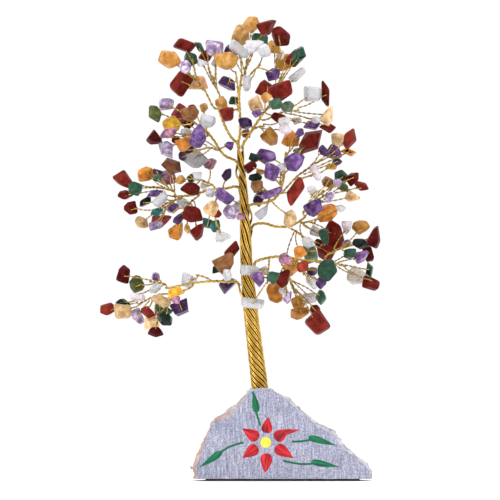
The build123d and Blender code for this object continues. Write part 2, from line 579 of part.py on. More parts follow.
# Room for the chips: balls stand for all that is placed, at each bend of its bough
class Room:
    def __init__(self):
        self.centres = np.zeros((0, BEND_STEPS, 3))
        self.radii = np.zeros(0)
        self.owners = np.zeros(0, int)

    def bent(self, points, owner):
        """Points of a bough at each of its bends, or of the fixed trunk."""
        points = np.asarray(points, float)
        if owner < 0:
            return np.repeat(points[:, None, :], BEND_STEPS, axis=1)
        pivot = bough_route(owner)[0]
        low, high = BOUGHS[NAMES[owner]]["bends"]
        placed = []
        for bend in np.radians(np.linspace(low, high, BEND_STEPS)):
            turn = np.array([[math.cos(bend), 0, math.sin(bend)], [0, 1, 0],
                             [-math.sin(bend), 0, math.cos(bend)]])
            placed.append((points - pivot) @ turn.T + pivot)
        return np.stack(placed, axis=1)

    def add(self, points, radii, owner):
        """Take up room with balls."""
        self.centres = np.concatenate([self.centres, self.bent(points, owner)])
        self.radii = np.concatenate([self.radii, radii])
        self.owners = np.concatenate([self.owners, np.full(len(radii), owner)])

    def add_route(self, route, radius, owner):
        """Take up the room of a wire."""
        for start, end in zip(route, route[1:]):
            count = max(2, int(np.linalg.norm(np.subtract(end, start)) / BALL_PITCH))
            points = np.linspace(start, end, count)
            self.add(points, np.full(count, radius), owner)

    def clearance(self, points, radii, owner):
        """The least room to all that is placed: at rest on one bough, at any bends between two."""
        rest = BEND_STEPS // 2
        mine = self.bent(points, owner)
        best = np.inf
        same = self.owners == owner
        if same.any():
            away = np.linalg.norm(mine[:, None, rest] - self.centres[None, same, rest], axis=-1)
            best = (away - radii[:, None] - self.radii[None, same]).min()
        near = ~same & (np.abs(self.centres[:, rest] - mine[-1, rest]).max(axis=1) < NEAR)
        if near.any():
            others = self.centres[near]
            away = np.linalg.norm(mine[:, None, :, None] - others[None, :, None, :], axis=-1).min(axis=(2, 3))
            best = min(best, (away - radii[:, None] - self.radii[None, near]).min())
        return best


# Chips and their folded wires
def half_reach(outline, direction, inset):
    """The distance along a direction from an outline's middle to its edge moved in."""
    corners = np.array(outline)
    best = np.inf
    for a, b in zip(corners, np.roll(corners, -1, axis=0)):
        edge = unit(b - a)
        normal = np.array([edge[1], -edge[0]])
        facing = direction @ normal
        if facing > 0:
            best = min(best, (a @ normal - inset) / facing)
    return best


class Chip:
    def __init__(self, number, entry, depth, foot):
        self.stone, x, z, self.long, wide, lean = entry
        self.wide = max(wide, LEAST_WIDTH)
        self.thick = min(MOST_THICKNESS, max(LEAST_THICKNESS, THICKNESS_SHARE * self.wide))
        self.centre = np.array([x, depth, z], float)
        self.foot = foot
        stem = foot - self.centre
        self.stem_length = np.linalg.norm(stem)
        toward = stem / self.stem_length
        yaw = math.radians(TILT * math.sin(YAW_STEP * number))
        pitch = math.radians(TILT * math.sin(PITCH_STEP * number + PITCH_START))
        facing = np.array([math.sin(yaw), -math.cos(yaw) * math.cos(pitch), math.sin(pitch)])
        square = unit(facing - (facing @ toward) * toward)
        self.lift = self.thick / 2 + FOLD_LIFT
        dip = min(MOST_DIP, (self.lift - LEG_SPREAD) / self.stem_length)
        self.normal = math.sqrt(1 - dip ** 2) * square - dip * toward
        level = unit(np.array([1.0, 0, 0]) - self.normal[0] * self.normal)
        rise = np.cross(level, self.normal)
        lean = math.radians(lean)
        self.along = math.cos(lean) * level + math.sin(lean) * rise
        self.across = np.cross(self.normal, self.along)
        shape = OUTLINES[number % len(OUTLINES)]
        if self.long / self.wide > SPLINTER_RATIO:
            shape = BLOCK if self.stone == CLEAR else SPLINTER
        self.outline = np.array(shape) * [self.long / 2, self.wide / 2]

    def place(self, flat, height):
        """Turn points of the chip's own plane into the tree's frame."""
        flat = np.atleast_2d(flat)
        return self.centre + np.outer(flat[:, 0], self.along) + np.outer(flat[:, 1], self.across) \
            + height * self.normal

    def hole_middle(self):
        """The hole's place in the chip's plane, near the edge that faces its stem."""
        stem = self.foot - self.centre
        toward = unit(np.array([stem @ self.along, stem @ self.across]))
        reach = half_reach(FACET_SCALE * self.outline, toward, self.hole_radius() + HOLE_EDGE)
        return max(0.0, reach) * toward, toward

    def hole_radius(self):
        return WIRE_RADIUS + 2 * HOLE_CLEARANCE

    def solid(self):
        """The drilled chip: a wide back, a narrower front, and slanting sides between."""
        middle, toward = self.hole_middle()
        aside = np.array([-toward[1], toward[0]])
        hole = regular_ring(middle, aside, toward, self.hole_radius(), WIRE_SIDES)
        back = self.place(self.outline, -self.thick / 2)
        front = self.place(FACET_SCALE * self.outline, self.thick / 2)
        hole_back = self.place(hole, -self.thick / 2)
        hole_front = self.place(hole, self.thick / 2)
        faces = [flat_face(back, [hole_back]), flat_face(front, [hole_front])]
        faces += joined_rings([back, front]) + joined_rings([hole_back, hole_front])
        return Solid(Shell(faces))

    def wire(self):
        """The folded wire: up one leg, through the hole, and down the other leg."""
        middle, toward = self.hole_middle()
        upper = self.place(middle, self.lift)[0]
        lower = self.place(middle, -self.lift)[0]
        route = [self.foot + LEG_SPREAD * self.normal, upper, lower, self.foot - LEG_SPREAD * self.normal]
        aside = np.cross(self.normal, toward[0] * self.along + toward[1] * self.across)
        return wire_tube(route, WIRE_RADIUS, WIRE_SIDES, aside)

    def balls(self):
        """Balls that hold the chip, and smaller ones along its stem."""
        offset = self.long / 2 - self.wide / 2
        if offset > ROUND_LIMIT * self.long:
            chip = [self.centre + shift * self.along for shift in (-offset, 0.0, offset)]
            radii = [math.hypot(self.wide / 2, self.thick / 2)] * len(chip)
        else:
            chip = [self.centre]
            radii = [ROUND_FILL * math.hypot(self.long, ROUND_WIDTH * self.wide) / 2]
        stem = [self.foot + place * (self.centre - self.foot) for place in STEM_PLACES]
        stem_radii = [STEM_RADIUS + STEM_OPENING * place * self.lift for place in STEM_PLACES]
        return np.array(stem + chip), np.array(stem_radii + radii)


def settled_chip(room, number, owner, entry, route, back, depth):
    """Find the first depth at which a chip and its stem clear all that is placed."""
    offsets = [0.0]
    for k in range(1, DEPTH_STEPS + 1):
        offsets += [k * DEPTH_STEP, -k * DEPTH_STEP]
    best = None
    best_room = -np.inf
    for offset in offsets:
        foot, along = station(route, back)
        away = np.array([entry[1], depth + offset, entry[2]]) - foot
        aside = unit(away - (away @ along) * along)
        end = WIRE_RADIUS * tipped(away, aside) + LEG_SPREAD
        foot = foot + (BRANCHLET_RADIUS + end + WIRE_GAP) * aside
        chip = Chip(number, entry, depth + offset, foot)
        if chip.stem_length < LEAST_STEM + LONG_CHIP_STEM * chip.long:
            continue
        balls, radii = chip.balls()
        free = room.clearance(balls, radii, owner)
        if free > best_room:
            best, best_room = chip, free
        if free >= CHIP_GAP:
            break
    return best, best_room


def grow():
    """Lay every bough and branchlet, then settle the chips spray by spray."""
    room = Room()
    for i in range(len(NAMES)):
        room.add_route(strand_route(i), STRAND_RADIUS, -1)
    boughs = [bough_route(i) for i in range(len(NAMES))]
    sprays = []
    for i, name in enumerate(NAMES):
        room.add_route(boughs[i], STRAND_RADIUS, i)
        for run, place, tip, entries in BOUGHS[name]["sprays"]:
            route = branchlet_route(boughs[i], run, place, np.array(tip))
            sprays.append((i, route, entries))
            room.add_route(route[:2], BRANCHLET_RADIUS, i)
            room.add_route(route[1:], BRANCHLET_RADIUS, i)
    chips = [[] for name in NAMES]
    number = 0
    tight = []
    for owner, route, entries in sprays:
        ahead = unit(route[2] - route[0])
        order = sorted(entries, key=lambda e: -(e[1] * ahead[0] + e[2] * ahead[2]))
        for k, entry in enumerate(order):
            depth = route[2][1] + DEPTH_SPREAD * (2 * (DEPTH_TURN * number % 1) - 1)
            chip, free = settled_chip(room, number, owner, entry, route,
                                      STATION_START + k * STATION_PITCH, depth)
            room.add(*chip.balls(), owner)
            chips[owner].append(chip)
            if free < CHIP_GAP:
                tight.append((round(float(free), 2), NAMES[owner], entry[:3]))
            number += 1
    return boughs, sprays, chips, tight


def main():
    os.makedirs("parts", exist_ok=True)
    boughs, sprays, chips, tight = grow()
    nodes = {
        "base_stone": [base_stone()],
        "felt_pad": [felt_pad()],
        "glue_plug": [glue_plug()],
        "trunk_core": [trunk_core()],
        "trunk_strands": trunk_strands(),
    }
    for i, name in enumerate(NAMES):
        wires = [wire_tube(boughs[i], STRAND_RADIUS, BOUGH_SIDES)]
        wires += [wire_tube(route, BRANCHLET_RADIUS, BRANCHLET_SIDES)
                  for owner, route, entries in sprays if owner == i]
        wires += [chip.wire() for chip in chips[i]]
        nodes[f"{name}_bough_wire"] = wires
        for stone in STONES:
            stones = [chip.solid() for chip in chips[i] if chip.stone == stone]
            if stones:
                nodes[f"{name}_bough_{stone}"] = stones
    for node, solids in nodes.items():
        export_step(Compound(solids), f"parts/{node}.step")
    print("nodes", len(nodes), "chips", sum(len(group) for group in chips))
    print("chips with less room than wanted", len(tight), sorted(tight))
    for name, route in zip(NAMES, boughs):
        print("bend at", name, np.round(route[0], 2).tolist())


main()
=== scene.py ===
import json
import math
import random

import bpy
import numpy as np
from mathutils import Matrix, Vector


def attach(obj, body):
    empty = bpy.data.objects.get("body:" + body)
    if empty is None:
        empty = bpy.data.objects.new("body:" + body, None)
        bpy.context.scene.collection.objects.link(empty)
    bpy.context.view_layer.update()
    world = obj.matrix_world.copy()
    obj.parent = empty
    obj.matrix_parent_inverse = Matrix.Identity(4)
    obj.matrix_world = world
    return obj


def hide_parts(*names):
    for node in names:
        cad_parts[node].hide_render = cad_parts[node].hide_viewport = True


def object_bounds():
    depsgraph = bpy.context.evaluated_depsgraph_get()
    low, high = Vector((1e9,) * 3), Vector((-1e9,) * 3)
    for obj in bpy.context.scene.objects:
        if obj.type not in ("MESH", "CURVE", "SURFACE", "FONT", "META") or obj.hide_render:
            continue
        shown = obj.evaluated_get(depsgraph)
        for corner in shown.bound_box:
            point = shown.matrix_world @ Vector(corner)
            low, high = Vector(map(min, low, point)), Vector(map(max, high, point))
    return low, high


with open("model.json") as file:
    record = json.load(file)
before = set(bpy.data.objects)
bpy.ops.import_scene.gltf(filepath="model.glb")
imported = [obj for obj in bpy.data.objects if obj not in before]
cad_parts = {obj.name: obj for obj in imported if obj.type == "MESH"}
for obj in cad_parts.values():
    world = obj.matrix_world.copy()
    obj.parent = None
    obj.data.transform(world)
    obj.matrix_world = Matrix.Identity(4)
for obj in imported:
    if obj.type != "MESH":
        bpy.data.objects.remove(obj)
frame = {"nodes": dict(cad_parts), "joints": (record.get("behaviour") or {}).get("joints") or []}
cad_low, cad_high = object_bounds()


# Base stone
# A block of slate-blue stone, sawn flat at the front and broken at its other sides. It is drilled
# on the crest for the trunk, saw marks run down its front, and a warm rind shows on its left flank.
MERGE_REACH = 2e-6
FLAT_ANGLE = 0.002
STONE_VOXEL = 0.0008
EVEN_FOOT = 0.0022
SAWN_FROM = 0.78
SAWN_OVER = 0.2
CHIPPING = [(0.012, 0.0022), (0.004, 0.0012), (0.0014, 0.0005)]
CHIPPING_LEVEL = 0.6
RIND_RAGGED = 0.06
RIND_EDGE = (0.010, -0.006)
SAWN_FACING = (-0.75, -0.95)


def pick(piece):
    """Make one object the only selected and active one."""
    bpy.ops.object.select_all(action="DESELECT")
    piece.select_set(True)
    bpy.context.view_layer.objects.active = piece


def own_copy(node, name):
    """Copy a CAD node into a mesh of its own, with its loose triangles merged into flat faces."""
    mesh = frame["nodes"][node].data.copy()
    mesh.materials.clear()
    piece = bpy.data.objects.new(name, mesh)
    bpy.context.scene.collection.objects.link(piece)
    pick(piece)
    bpy.ops.object.mode_set(mode="EDIT")
    bpy.ops.mesh.select_all(action="SELECT")
    bpy.ops.mesh.remove_doubles(threshold=MERGE_REACH)
    bpy.ops.mesh.dissolve_limited(angle_limit=FLAT_ANGLE)
    bpy.ops.mesh.customdata_custom_splitnormals_clear()
    bpy.ops.object.mode_set(mode="OBJECT")
    return piece


stone = own_copy("base_stone", "rough_stone")
stone.data.remesh_voxel_size = STONE_VOXEL
bpy.ops.object.voxel_remesh()
broken = stone.vertex_groups.new(name="broken")
for vertex in stone.data.vertices:
    sawn = min(1.0, max(0.0, (-vertex.normal.y - SAWN_FROM) / SAWN_OVER))
    if vertex.co.z > EVEN_FOOT:
        broken.add([vertex.index], 1.0 - sawn, "REPLACE")
for grain, depth in CHIPPING:
    chipping = bpy.data.textures.new(f"chipping_{depth}", "CLOUDS")
    chipping.noise_scale = grain
    chipping.noise_type = "HARD_NOISE"
    roughen = stone.modifiers.new("roughen", "DISPLACE")
    roughen.texture = chipping
    roughen.texture_coords = "LOCAL"
    roughen.vertex_group = "broken"
    roughen.strength = depth
    roughen.mid_level = CHIPPING_LEVEL
    bpy.ops.object.modifier_apply(modifier=roughen.name)
bpy.ops.object.shade_smooth()


def new_finish(name):
    """Start a node material and hand back its nodes, links and shader."""
    finish = bpy.data.materials.new(name)
    finish.use_nodes = True
    tree = finish.node_tree
    return finish, tree.nodes, tree.links, tree.nodes["Principled BSDF"]


def noise(nodes, links, scale, stretch=(1.0, 1.0, 1.0), detail=4.0, roughness=0.55,
          attribute=None):
    """A noise pattern on the piece's own coordinates, or on one of its attributes."""
    mapping = nodes.new("ShaderNodeMapping")
    mapping.inputs["Scale"].default_value = stretch
    if attribute:
        place = nodes.new("ShaderNodeAttribute")
        place.attribute_name = attribute
        links.new(place.outputs["Vector"], mapping.inputs["Vector"])
    else:
        place = nodes.new("ShaderNodeTexCoord")
        links.new(place.outputs["Object"], mapping.inputs["Vector"])
    pattern = nodes.new("ShaderNodeTexNoise")
    pattern.inputs["Scale"].default_value = scale
    pattern.inputs["Detail"].default_value = detail
    pattern.inputs["Roughness"].default_value = roughness
    links.new(mapping.outputs["Vector"], pattern.inputs["Vector"])
    return pattern.outputs["Fac"]


def ramp(nodes, links, factor, stops):
    """Turn a pattern into colours."""
    colours = nodes.new("ShaderNodeValToRGB")
    while len(colours.color_ramp.elements) < len(stops):
        colours.color_ramp.elements.new(0.5)
    for element, (position, colour) in zip(colours.color_ramp.elements, stops):
        element.position = position
        element.color = (*colour, 1.0)
    links.new(factor, colours.inputs["Fac"])
    return colours.outputs["Color"]


def mixed(nodes, links, factor, first, second, blend="MIX"):
    """Mix two colours by a pattern."""
    mix = nodes.new("ShaderNodeMix")
    mix.data_type = "RGBA"
    mix.blend_type = blend
    if isinstance(factor, float):
        mix.inputs["Factor"].default_value = factor
    else:
        links.new(factor, mix.inputs["Factor"])
    links.new(first, mix.inputs["A"])
    links.new(second, mix.inputs["B"])
    return mix.outputs["Result"]


def bumped(nodes, links, shader, height, strength, distance):
    """Let a pattern stand in relief."""
    bump = nodes.new("ShaderNodeBump")
    bump.inputs["Strength"].default_value = strength
    bump.inputs["Distance"].default_value = distance
    links.new(height, bump.inputs["Height"])
    links.new(bump.outputs["Normal"], shader.inputs["Normal"])


finish, nodes, links, shader = new_finish("slate_blue_stone")
saw_marks = noise(nodes, links, 1.0, (1500.0, 1500.0, 160.0), 5.0, 0.7)
speckle = noise(nodes, links, 900.0, detail=2.0)
clouds = noise(nodes, links, 60.0)
sawn_face = mixed(nodes, links, 0.35,
                  ramp(nodes, links, saw_marks, [(0.34, (0.13, 0.14, 0.20)),
                                                 (0.5, (0.29, 0.30, 0.40)),
                                                 (0.66, (0.54, 0.55, 0.65))]),
                  ramp(nodes, links, clouds, [(0.3, (0.21, 0.22, 0.32)), (0.7, (0.39, 0.39, 0.49))]))
dusted = ramp(nodes, links, speckle, [(0.32, (0.55, 0.55, 0.6)), (0.5, (1.0, 1.0, 1.0)),
                                      (0.68, (1.5, 1.45, 1.4))])
sawn_face = mixed(nodes, links, 0.8, sawn_face, dusted, "MULTIPLY")
rind = ramp(nodes, links, noise(nodes, links, 160.0, detail=8.0, roughness=0.7),
            [(0.3, (0.26, 0.16, 0.13)), (0.52, (0.48, 0.34, 0.30)), (0.72, (0.66, 0.56, 0.52))])
grey_break = ramp(nodes, links, noise(nodes, links, 200.0, detail=8.0, roughness=0.75),
                  [(0.3, (0.16, 0.15, 0.19)), (0.48, (0.40, 0.39, 0.45)), (0.66, (0.80, 0.78, 0.82))])
place = nodes.new("ShaderNodeTexCoord")
across = nodes.new("ShaderNodeSeparateXYZ")
links.new(place.outputs["Object"], across.inputs["Vector"])
ragged = nodes.new("ShaderNodeMath")
ragged.operation = "MULTIPLY_ADD"
ragged.inputs[1].default_value = RIND_RAGGED
links.new(noise(nodes, links, 45.0, detail=6.0), ragged.inputs[0])
links.new(across.outputs["X"], ragged.inputs[2])
flank = nodes.new("ShaderNodeMapRange")
flank.inputs["From Min"].default_value = RIND_EDGE[0]
flank.inputs["From Max"].default_value = RIND_EDGE[1]
links.new(ragged.outputs["Value"], flank.inputs["Value"])
broken_face = mixed(nodes, links, flank.outputs["Result"], grey_break, rind)
facing = nodes.new("ShaderNodeSeparateXYZ")
surface = nodes.new("ShaderNodeNewGeometry")
links.new(surface.outputs["Normal"], facing.inputs["Vector"])
front = nodes.new("ShaderNodeMapRange")
front.inputs["From Min"].default_value = SAWN_FACING[0]
front.inputs["From Max"].default_value = SAWN_FACING[1]
links.new(facing.outputs["Y"], front.inputs["Value"])
links.new(mixed(nodes, links, front.outputs["Result"], broken_face, sawn_face),
          shader.inputs["Base Color"])
shader.inputs["Roughness"].default_value = 0.85
bumped(nodes, links, shader, saw_marks, 0.35, 0.0003)
stone.data.materials.append(finish)
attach(stone, "stand")
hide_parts("base_stone")


# Painted flower
# Thick craft paint dabbed on the sawn front with a loaded brush: six red petals about a yellow
# heart, and four green sprigs. It is a common folk motif. Each dab stands a little proud.
PHOTO_PIXEL = 0.0006
PHOTO_LEFT = -0.1695
PHOTO_TOP = 0.288
PAINT_FACE = -0.0210
PAINT_RELIEF = 0.0005
TIP_RELIEF = 0.35
LEAF_TAPER = 0.46
STALK_RADIUS = 0.00065
STALK_FLATNESS = 0.6


def photo_point(px, py):
    """A place on the sawn front, from the picture's pixels."""
    return Vector((PHOTO_PIXEL * px + PHOTO_LEFT, PAINT_FACE, PHOTO_TOP - PHOTO_PIXEL * py))


def dab(name, root, tip, width, taper=0.45):
    """One dab of paint: a flattened drop from its round root to its drawn-out tip."""
    start, end = photo_point(*root), photo_point(*tip)
    along = (end - start).normalized()
    beside = Vector((-along.z, 0.0, along.x))
    half = (end - start).length / 2
    middle = (start + end) / 2
    broad = width * PHOTO_PIXEL / 2
    bpy.ops.object.select_all(action="DESELECT")
    bpy.ops.mesh.primitive_uv_sphere_add(segments=20, ring_count=10, radius=1.0)
    drop = bpy.context.active_object
    drop.name = name
    stroke = drop.data.attributes.new("stroke", "FLOAT_VECTOR", "POINT")
    for vertex in drop.data.vertices:
        u, v, w = vertex.co.z, vertex.co.x, vertex.co.y
        stroke.data[vertex.index].vector = (u, v, root[0])
        narrowing = 1.0 - taper * (u + 1.0)
        vertex.co = middle + along * (u * half) + beside * (v * narrowing * broad)
        vertex.co.y = PAINT_FACE + w * PAINT_RELIEF * max(TIP_RELIEF, narrowing)
    bpy.ops.object.shade_smooth()
    return drop


def joined(name, pieces):
    """Join meshes into one piece."""
    bpy.ops.object.select_all(action="DESELECT")
    for piece in pieces:
        piece.select_set(True)
    bpy.context.view_layer.objects.active = pieces[0]
    bpy.ops.object.join()
    whole = bpy.context.active_object
    whole.name = name
    bpy.ops.object.mode_set(mode="EDIT")
    bpy.ops.mesh.select_all(action="SELECT")
    bpy.ops.mesh.normals_make_consistent(inside=False)
    bpy.ops.object.mode_set(mode="OBJECT")
    return whole


petals = joined("flower_petals", [
    dab("petal", (266.3, 432.6), (268.3, 416), 17),
    dab("petal", (258.5, 438.0), (242, 428), 18),
    dab("petal", (274.6, 438.4), (290, 428.4), 18),
    dab("trail", (283, 432.5), (300, 429), 7),
    dab("petal", (257.5, 446), (242.3, 457.6), 18),
    dab("petal", (275.3, 446), (293.6, 457.6), 18),
    dab("petal", (266.8, 452.6), (265.2, 472), 17, 0.38),
])
finish, nodes, links, shader = new_finish("red_paint")
streaks = noise(nodes, links, 1.0, (0.7, 3.2, 1.0), attribute="stroke")
links.new(ramp(nodes, links, streaks, [(0.32, (0.13, 0.002, 0.006)), (0.5, (0.42, 0.005, 0.013)),
                                       (0.68, (0.70, 0.03, 0.04))]), shader.inputs["Base Color"])
shader.inputs["Roughness"].default_value = 0.35
shader.inputs["Specular IOR Level"].default_value = 0.3
bumped(nodes, links, shader, streaks, 0.4, 0.0004)
petals.data.materials.append(finish)
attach(petals, "stand")

heart = joined("flower_heart", [dab("heart", (265.7, 436.6), (265.7, 447.4), 11, 0.0)])
finish, nodes, links, shader = new_finish("yellow_paint")
spread = noise(nodes, links, 260.0)
links.new(ramp(nodes, links, spread, [(0.35, (0.76, 0.42, 0.02)), (0.5, (0.80, 0.66, 0.03)),
                                      (0.7, (0.84, 0.75, 0.14))]), shader.inputs["Base Color"])
shader.inputs["Roughness"].default_value = 0.4
bumped(nodes, links, shader, spread, 0.3, 0.0004)
heart.data.materials.append(finish)
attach(heart, "stand")


def brushed_line(name, places):
    """A thin line of paint drawn with the tip of the brush."""
    line = bpy.data.curves.new(name, "CURVE")
    line.dimensions = "3D"
    line.bevel_depth = STALK_RADIUS
    line.bevel_resolution = 1
    line.use_fill_caps = True
    spline = line.splines.new("NURBS")
    spline.points.add(len(places) - 1)
    for point, spot in zip(spline.points, places):
        point.co = (*photo_point(*spot), 1.0)
    spline.order_u = 3
    spline.use_endpoint_u = True
    drawn = bpy.data.objects.new(name, line)
    bpy.context.scene.collection.objects.link(drawn)
    pick(drawn)
    bpy.ops.object.convert(target="MESH")
    stalk = bpy.context.active_object
    for vertex in stalk.data.vertices:
        vertex.co.y = PAINT_FACE + STALK_FLATNESS * (vertex.co.y - PAINT_FACE)
    return stalk


sprigs = joined("flower_sprigs", [
    brushed_line("stalk", [(260.4, 425), (258, 418), (255, 408), (253.5, 398), (253, 391)]),
    dab("leaf", (256.8, 412), (253.2, 390), 11, LEAF_TAPER),
    brushed_line("stalk", [(243.6, 442), (234, 444), (224, 449), (214, 457)]),
    dab("leaf", (222, 451), (199, 467.5), 10.5, LEAF_TAPER),
    brushed_line("stalk", [(292, 441), (300, 441), (309, 439.5), (318, 438)]),
    dab("leaf", (308, 436.5), (337, 445), 10.5, LEAF_TAPER),
    brushed_line("stalk", [(283, 460), (296, 463.5), (311, 463.4), (319, 462)]),
    dab("leaf", (311, 461), (340, 466.5), 10, LEAF_TAPER),
])
finish, nodes, links, shader = new_finish("green_paint")
streaks = noise(nodes, links, 1.0, (0.7, 3.2, 1.0), attribute="stroke")
links.new(ramp(nodes, links, streaks, [(0.34, (0.001, 0.03, 0.014)), (0.5, (0.003, 0.13, 0.055)),
                                       (0.68, (0.02, 0.26, 0.12))]), shader.inputs["Base Color"])
shader.inputs["Roughness"].default_value = 0.4
shader.inputs["Specular IOR Level"].default_value = 0.25
bumped(nodes, links, shader, streaks, 0.3, 0.0004)
sprigs.data.materials.append(finish)
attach(sprigs, "stand")


# Pad
# A thin dark sheet of felt, cut to suit the stone's underside and glued to it, so that the stone
# doesn't scratch a shelf.
finish, nodes, links, shader = new_finish("dark_felt")
fibres = noise(nodes, links, 1400.0)
links.new(ramp(nodes, links, fibres, [(0.3, (0.006, 0.006, 0.008)), (0.7, (0.03, 0.03, 0.034))]),
          shader.inputs["Base Color"])
shader.inputs["Roughness"].default_value = 0.95
bumped(nodes, links, shader, fibres, 0.5, 0.0003)
frame["nodes"]["felt_pad"].data.materials.clear()
frame["nodes"]["felt_pad"].data.materials.append(finish)


# Glue
# Clear glue that was run into the drilled hole round the foot of the trunk, where it set hard and
# holds the tree upright.
finish, nodes, links, shader = new_finish("set_glue")
swirl = noise(nodes, links, 300.0)
links.new(ramp(nodes, links, swirl, [(0.3, (0.55, 0.46, 0.28)), (0.7, (0.74, 0.68, 0.52))]),
          shader.inputs["Base Color"])
shader.inputs["Roughness"].default_value = 0.25
bumped(nodes, links, shader, swirl, 0.2, 0.0004)
frame["nodes"]["glue_plug"].data.materials.clear()
frame["nodes"]["glue_plug"].data.materials.append(finish)


# Trunk
# A rope of soft gold-coloured wire: nine bundles of thin wires twisted round a core of wires.
# Each bundle climbs out of the rope at the height where its bough leaves.
SIDES_OF_CORNERS = {12: 3, 15: 5}
TRUNK_HEIGHTS = [0.034, 0.055, 0.096, 0.126, 0.168, 0.199]
TRUNK_X = [-0.0135, -0.0135, -0.0185, -0.0215, -0.0230, -0.0255]
BUNDLE_RISE = 0.00025
PAIR_SHIFT = 0.00056
PAIR_WIRE = 0.00056
TIGHT_TOP = 0.112
TIGHT_TURNS = 0.7
CORE_HEIGHTS = np.linspace(0.036, 0.197, 60)
CORE_SINK = 0.0003
BUNDLE_STEPS = 6
UPRIGHT = (0.5, 0.9)
# Painted shade in the crevices between the trunk's wires: where it begins, and over what span it
# fades to full light.
CREVICE_SHADE_FROM = 0.2
CREVICE_SHADE_OVER = 0.7


def tubes(node, main_sides):
    """Read the wires of a CAD node: for each one, the rings of corners along its length."""
    piece = own_copy(node, "reading")
    mesh = piece.data
    beside = [set() for vertex in mesh.vertices]
    for edge in mesh.edges:
        a, b = edge.vertices
        beside[a].add(b)
        beside[b].add(a)
    found = []
    seen = set()
    for polygon in mesh.polygons:
        if polygon.vertices[0] in seen:
            continue
        whole = set()
        reach = [polygon.vertices[0]]
        while reach:
            corner = reach.pop()
            if corner not in whole:
                whole.add(corner)
                reach.extend(beside[corner] - whole)
        seen |= whole
        found.append(whole)
    read = []
    for whole in found:
        count = SIDES_OF_CORNERS.get(len(whole), main_sides)
        ends = [polygon for polygon in mesh.polygons
                if len(polygon.vertices) == count and polygon.vertices[0] in whole]
        ends.sort(key=lambda polygon: polygon.area)
        ring = list(ends[0].vertices)
        walked = set(ring)
        rings = [ring]
        while True:
            onward = []
            for corner in rings[-1]:
                fresh = beside[corner] - walked
                if len(fresh) != 1:
                    break
                onward.append(fresh.pop())
            if len(onward) != count:
                break
            walked |= set(onward)
            rings.append(onward)
        read.append(np.array([[mesh.vertices[corner].co for corner in ring] for ring in rings]))
    bpy.data.objects.remove(piece)
    return read


def smooth_line(points, steps):
    """A smooth line through points, as the points of a Bezier curve with automatic handles."""
    curve = bpy.data.curves.new("line", "CURVE")
    curve.dimensions = "3D"
    curve.resolution_u = steps
    spline = curve.splines.new("BEZIER")
    spline.bezier_points.add(len(points) - 1)
    for knot, point in zip(spline.bezier_points, points):
        knot.co = point
        knot.handle_left_type = "AUTO"
        knot.handle_right_type = "AUTO"
    holder = bpy.data.objects.new("line", curve)
    bpy.context.scene.collection.objects.link(holder)
    bpy.context.view_layer.update()
    graph = bpy.context.evaluated_depsgraph_get()
    mesh = bpy.data.meshes.new_from_object(holder.evaluated_get(graph))
    line = np.array([vertex.co for vertex in mesh.vertices])
    bpy.data.objects.remove(holder)
    return line


def twisted(line, count, offset, lay, start=0.0, ending=1.0):
    """Lay wires round a line as in a twisted bundle. Each is a list of points."""
    runs = np.gradient(line, axis=0)
    runs /= np.linalg.norm(runs, axis=1)[:, None]
    gone = np.concatenate([[0.0], np.cumsum(np.linalg.norm(np.diff(line, axis=0), axis=1))])
    across = np.cross(runs[0], np.eye(3)[np.argmin(np.abs(runs[0]))])
    wires = [[] for i in range(count)]
    for point, run, length in zip(line, runs, gone):
        across = across - (across @ run) * run
        across /= np.linalg.norm(across)
        beside = np.cross(run, across)
        reach = offset * (1.0 + (ending - 1.0) * length / gone[-1])
        for i, wire in enumerate(wires):
            angle = start + 2 * math.pi * (i / count - length / lay)
            wire.append(point + reach * (math.cos(angle) * across + math.sin(angle) * beside))
    return wires


def from_middle(line):
    """How far points lie from the middle of the trunk at their heights."""
    middle_x = np.interp(line[:, 2], TRUNK_HEIGHTS, TRUNK_X)
    return line - np.stack([middle_x, 0 * middle_x, line[:, 2]], axis=1)


def laid_tight(line):
    """Lay a bundle tighter round the trunk toward the foot."""
    reach = from_middle(line)
    below = np.clip((TIGHT_TOP - line[:, 2]) / (TIGHT_TOP - TRUNK_HEIGHTS[0]), 0.0, 1.0)
    angle = 2 * math.pi * TIGHT_TURNS * below ** 2
    turned = np.stack([np.cos(angle) * reach[:, 0] - np.sin(angle) * reach[:, 1],
                       np.sin(angle) * reach[:, 0] + np.cos(angle) * reach[:, 1],
                       reach[:, 2]], axis=1)
    return line - reach + turned


def wire_piece(name, wires, radius, rounding=1, ending=1.0, swelling=None):
    """Make one mesh of wires that follow lists of points. They may taper or swell on the way."""
    curve = bpy.data.curves.new(name, "CURVE")
    curve.dimensions = "3D"
    curve.bevel_depth = radius
    curve.bevel_resolution = rounding
    curve.use_fill_caps = True
    for number, wire in enumerate(wires):
        spline = curve.splines.new("POLY")
        spline.points.add(len(wire) - 1)
        for i, (point, spot) in enumerate(zip(spline.points, wire)):
            point.co = (*spot, 1.0)
            tapering = 1.0 + (ending - 1.0) * i / (len(wire) - 1)
            point.radius = swelling[number][i] if swelling else tapering
        spline.use_smooth = True
    piece = bpy.data.objects.new(name, curve)
    bpy.context.scene.collection.objects.link(piece)
    pick(piece)
    bpy.ops.object.convert(target="MESH")
    return bpy.context.active_object


finish, nodes, links, shader = new_finish("gold_wire")
tarnish = noise(nodes, links, 260.0)
plated = ramp(nodes, links, tarnish, [(0.25, (0.46, 0.25, 0.035)), (0.5, (0.70, 0.44, 0.085)),
                                      (0.75, (0.88, 0.64, 0.22))])
# Painted shade: the sides of each wire that turn into the crevices between wires are darkened to
# brown, as if in shadow, while the outward sides keep the full gold.
crevice_shading = nodes.new("ShaderNodeAttribute")
crevice_shading.attribute_name = "crevice_shading"
painted_crevice_shade = ramp(nodes, links, crevice_shading.outputs["Fac"], [(0.0, (0.26, 0.15, 0.06)),
                                                      (0.9, (1.0, 1.0, 1.0))])
links.new(mixed(nodes, links, 1.0, plated, painted_crevice_shade, "MULTIPLY"), shader.inputs["Base Color"])
shader.inputs["Metallic"].default_value = 1.0
shader.inputs["Roughness"].default_value = 0.3
gold_wire = finish

